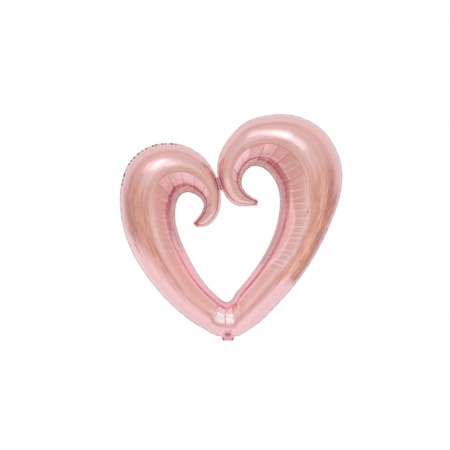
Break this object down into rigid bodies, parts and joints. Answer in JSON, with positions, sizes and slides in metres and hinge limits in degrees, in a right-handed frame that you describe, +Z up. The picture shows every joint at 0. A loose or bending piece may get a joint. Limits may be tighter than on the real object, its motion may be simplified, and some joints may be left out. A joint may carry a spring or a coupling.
{
  "type": "foil balloon",
  "caption": "Inflated metallic foil balloon shaped as an open heart, one curved tube with hooked ends, with a neck, flat valve and folding tail.",
  "frame": {"origin": "middle of the fold between the neck and the tail, at the bottom of the heart, where a string is tied", "axes": "+Z up the heart from the tail to the lobes, the front face with the inflation port looks to -Y, and the larger lobe is on +X"},
  "size_m": [0.9571, 0.2448, 0.9739],
  "materials": {
    "front_foil": "mirror-like metallic rose-gold foil",
    "back_foil": "mirror-like metallic rose-gold foil",
    "valve_film": "thin soft plastic film, tinted by the foil round it"
  },
  "bodies": {
    "balloon": {"front_foil": "front_foil", "back_foil": "back_foil", "neck_front": "front_foil", "neck_back": "back_foil", "valve_film_front": "valve_film", "valve_film_back": "valve_film", "lobe_bridge": "front_foil"},
    "tail": {"tail_front": "front_foil", "tail_back": "back_foil"}
  },
  "joints": [
    {"name": "tail_fold", "type": "hinge", "parent": "balloon", "child": "tail", "pos_m": [0, 0, 0], "axis": [1, 0, 0], "range_deg": [-90, 90]}
  ]
}
